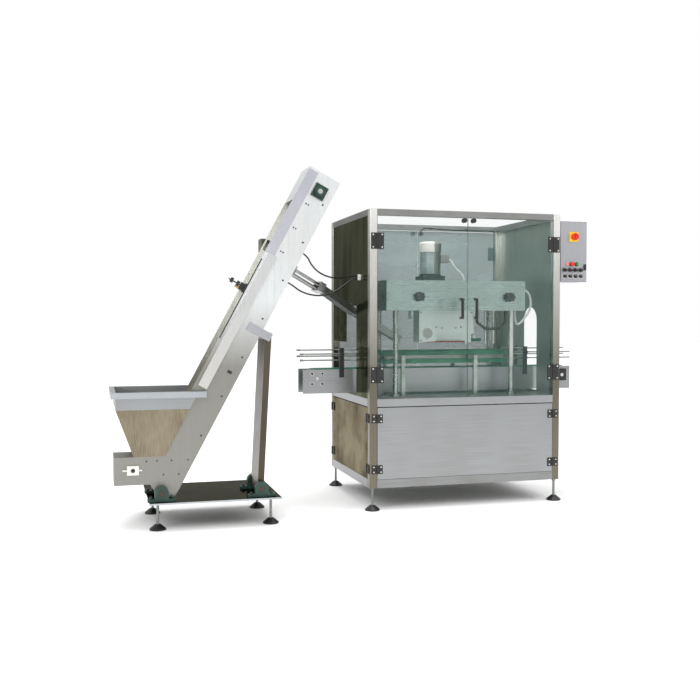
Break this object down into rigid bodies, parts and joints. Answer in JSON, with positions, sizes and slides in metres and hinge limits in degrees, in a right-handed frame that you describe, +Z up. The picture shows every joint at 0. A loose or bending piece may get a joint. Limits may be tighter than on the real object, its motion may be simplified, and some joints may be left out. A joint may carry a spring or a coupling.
{
  "type": "capping machine",
  "caption": "Guarded in-line bottle capping machine with glass doors, belt conveyor, lifting cap head, and an inclined cleated cap elevator with feed hopper.",
  "frame": {"origin": "on the floor, midway along and across the machine's overall box", "axes": "+X along the conveyor from the cap elevator end to the control box end, +Y from the front doors to the back, +Z up"},
  "size_m": [3.243, 1.272, 2.1644],
  "materials": {
    "base_steel": "dark polished plate",
    "belt_cream": "food grade belt",
    "belt_green": "smooth PVC belt",
    "black_plastic": "black moulded nylon",
    "cable_black": "smooth sheath",
    "cast_green": "dark green enamel",
    "door_glass": "clear tempered glass, faint green",
    "frame_steel": "fine brushed stainless",
    "green_plastic": "moulded",
    "hopper_steel": "satin stainless",
    "hose_black": "smooth",
    "light_steel": "satin stainless",
    "motor_grey": "grey enamel",
    "panel_grey": "satin stainless sheet",
    "panel_mirror": "polished stainless sheet",
    "polished_steel": "polished stainless",
    "post_steel": "satin stainless",
    "red_plastic": "moulded",
    "white_plastic": "moulded",
    "zinc_steel": "zinc plated"
  },
  "bodies": {
    "machine": {"frame_posts": "frame_steel", "frame_rails": "frame_steel", "deck_plates": "panel_grey", "side_panel_left": "panel_mirror", "fixed_panels": "panel_grey", "hinges_fixed": "black_plastic", "foot_pads": "black_plastic", "foot_studs": "zinc_steel", "control_box_shell": "panel_grey", "deck_columns": "polished_steel", "conveyor_frame": "panel_grey", "conveyor_belt": "belt_green", "guide_rails": "zinc_steel", "elevator_casing": "light_steel", "elevator_belt": "belt_cream", "bearing_housings": "cast_green", "elevator_base": "base_steel", "support_post": "post_steel", "hopper": "hopper_steel", "cap_chute": "light_steel", "elevator_fittings": "zinc_steel", "cable_gland": "white_plastic", "cable_upper": "cable_black", "cable_lower": "cable_black"},
    "head": {"head_housing": "polished_steel", "head_motor": "motor_grey", "feed_box": "light_steel", "head_hoses": "hose_black"},
    "knob_left": {"lock_knob_left": "black_plastic"},
    "knob_right": {"lock_knob_right": "black_plastic"},
    "capper_front": {"spindle_front": "polished_steel"},
    "capper_rear": {"spindle_rear": "polished_steel"},
    "grip_front": {"gripper_front": "light_steel", "gripper_front_belts": "belt_green"},
    "grip_rear": {"gripper_rear": "light_steel", "gripper_rear_belts": "belt_green"},
    "door_front_left": {"front_left_door_glass": "door_glass", "front_left_door_fittings": "black_plastic"},
    "door_front_right": {"front_right_door_glass": "door_glass", "front_right_door_fittings": "black_plastic"},
    "door_rear_left": {"rear_left_door": "door_glass"},
    "door_rear_right": {"rear_right_door": "door_glass"},
    "panel_front": {"front_panel_lower": "panel_grey"},
    "panel_left": {"left_panel_lower": "panel_mirror"},
    "box_door": {"control_box_door": "panel_grey"},
    "isolator": {"main_switch": "red_plastic"},
    "stop": {"emergency_stop": "red_plastic"},
    "start": {"start_button": "green_plastic"},
    "roller_idle": {"conveyor_roller_idle": "zinc_steel"},
    "roller_drive": {"conveyor_roller_drive": "zinc_steel"},
    "drum_head": {"elevator_head_drum": "zinc_steel"},
    "drum_tail": {"elevator_tail_drum": "zinc_steel"},
    "selector_1": {"selector_1": "black_plastic"},
    "speed_1": {"speed_knob_1": "black_plastic"},
    "selector_2": {"selector_2": "black_plastic"},
    "speed_2": {"speed_knob_2": "black_plastic"},
    "selector_3": {"selector_3": "black_plastic"},
    "speed_3": {"speed_knob_3": "black_plastic"},
    "selector_4": {"selector_4": "black_plastic"},
    "speed_4": {"speed_knob_4": "black_plastic"}
  },
  "joints": [
    {"name": "head_height", "type": "slide", "parent": "machine", "child": "head", "axis": [0, 0, 1], "range_m": [-0.04, 0.08]},
    {"name": "knob_left_turn", "type": "hinge", "parent": "head", "child": "knob_left", "pos_m": [0.383, -0.215, 1.384], "axis": [0, 1, 0], "continuous": true},
    {"name": "knob_right_turn", "type": "hinge", "parent": "head", "child": "knob_right", "pos_m": [1.036, -0.215, 1.384], "axis": [0, 1, 0], "continuous": true},
    {"name": "capper_front_spin", "type": "hinge", "parent": "head", "child": "capper_front", "pos_m": [0.862, -0.012, 1.2], "axis": [0, 0, 1], "continuous": true},
    {"name": "capper_rear_spin", "type": "hinge", "parent": "head", "child": "capper_rear", "pos_m": [0.862, 0.112, 1.2], "axis": [0, 0, 1], "continuous": true},
    {"name": "grip_front_slide", "type": "slide", "parent": "machine", "child": "grip_front", "axis": [0, -1, 0], "range_m": [0, 0.012]},
    {"name": "grip_rear_slide", "type": "slide", "parent": "machine", "child": "grip_rear", "axis": [0, 1, 0], "range_m": [0, 0.012]},
    {"name": "door_front_left_hinge", "type": "hinge", "parent": "machine", "child": "door_front_left", "pos_m": [0.04, -0.386, 1.3], "axis": [0, 0, -1], "range_deg": [0, 90]},
    {"name": "door_front_right_hinge", "type": "hinge", "parent": "machine", "child": "door_front_right", "pos_m": [1.285, -0.386, 1.3], "axis": [0, 0, 1], "range_deg": [0, 90]},
    {"name": "door_rear_left_hinge", "type": "hinge", "parent": "machine", "child": "door_rear_left", "pos_m": [0.04, 0.606, 1.3], "axis": [0, 0, 1], "range_deg": [0, 110]},
    {"name": "door_rear_right_hinge", "type": "hinge", "parent": "machine", "child": "door_rear_right", "pos_m": [1.285, 0.606, 1.3], "axis": [0, 0, -1], "range_deg": [0, 110]},
    {"name": "panel_front_hinge", "type": "hinge", "parent": "machine", "child": "panel_front", "pos_m": [0.04, -0.386, 0.43], "axis": [0, 0, -1], "range_deg": [0, 100]},
    {"name": "panel_left_hinge", "type": "hinge", "parent": "machine", "child": "panel_left", "pos_m": [-0.016, -0.33, 0.43], "axis": [0, 0, 1], "range_deg": [0, 75]},
    {"name": "box_door_hinge", "type": "hinge", "parent": "machine", "child": "box_door", "pos_m": [1.344, -0.374, 1.69], "axis": [0, 0, -1], "range_deg": [0, 95]},
    {"name": "isolator_turn", "type": "hinge", "parent": "box_door", "child": "isolator", "pos_m": [1.4355, -0.377, 1.792], "axis": [0, 1, 0], "range_deg": [0, 90]},
    {"name": "selector_1_turn", "type": "hinge", "parent": "box_door", "child": "selector_1", "pos_m": [1.367, -0.377, 1.568], "axis": [0, 1, 0], "range_deg": [-45, 45]},
    {"name": "speed_1_turn", "type": "hinge", "parent": "box_door", "child": "speed_1", "pos_m": [1.367, -0.377, 1.526], "axis": [0, 1, 0], "range_deg": [-135, 135]},
    {"name": "selector_2_turn", "type": "hinge", "parent": "box_door", "child": "selector_2", "pos_m": [1.4065, -0.377, 1.568], "axis": [0, 1, 0], "range_deg": [-45, 45]},
    {"name": "speed_2_turn", "type": "hinge", "parent": "box_door", "child": "speed_2", "pos_m": [1.4065, -0.377, 1.526], "axis": [0, 1, 0], "range_deg": [-135, 135]},
    {"name": "selector_3_turn", "type": "hinge", "parent": "box_door", "child": "selector_3", "pos_m": [1.446, -0.377, 1.568], "axis": [0, 1, 0], "range_deg": [-45, 45]},
    {"name": "speed_3_turn", "type": "hinge", "parent": "box_door", "child": "speed_3", "pos_m": [1.446, -0.377, 1.526], "axis": [0, 1, 0], "range_deg": [-135, 135]},
    {"name": "selector_4_turn", "type": "hinge", "parent": "box_door", "child": "selector_4", "pos_m": [1.4855, -0.377, 1.568], "axis": [0, 1, 0], "range_deg": [-45, 45]},
    {"name": "speed_4_turn", "type": "hinge", "parent": "box_door", "child": "speed_4", "pos_m": [1.4855, -0.377, 1.526], "axis": [0, 1, 0], "range_deg": [-135, 135]},
    {"name": "stop_press", "type": "slide", "parent": "box_door", "child": "stop", "axis": [0, 1, 0], "range_m": [0, 0.004], "stiffness_N_per_m": 600},
    {"name": "start_press", "type": "slide", "parent": "box_door", "child": "start", "axis": [0, 1, 0], "range_m": [0, 0.004], "stiffness_N_per_m": 600},
    {"name": "roller_drive_turn", "type": "hinge", "parent": "machine", "child": "roller_drive", "pos_m": [1.53, 0.05, 0.835], "axis": [0, 1, 0], "continuous": true},
    {"name": "roller_idle_turn", "type": "hinge", "parent": "machine", "child": "roller_idle", "pos_m": [-0.271, 0.05, 0.835], "axis": [0, 1, 0], "continuous": true},
    {"name": "drum_head_turn", "type": "hinge", "parent": "machine", "child": "drum_head", "pos_m": [-0.38184, -0.423, 2.00887], "axis": [0, 1, 0], "continuous": true},
    {"name": "drum_tail_turn", "type": "hinge", "parent": "machine", "child": "drum_tail", "pos_m": [-1.5, -0.423, 0.355], "axis": [0, 1, 0], "continuous": true}
  ],
  "couplings": [
    {"joint": "capper_rear_spin", "follows": "capper_front_spin", "ratio": -1},
    {"joint": "grip_rear_slide", "follows": "grip_front_slide", "ratio": 1},
    {"joint": "roller_idle_turn", "follows": "roller_drive_turn", "ratio": 1},
    {"joint": "drum_tail_turn", "follows": "drum_head_turn", "ratio": 1}
  ]
}
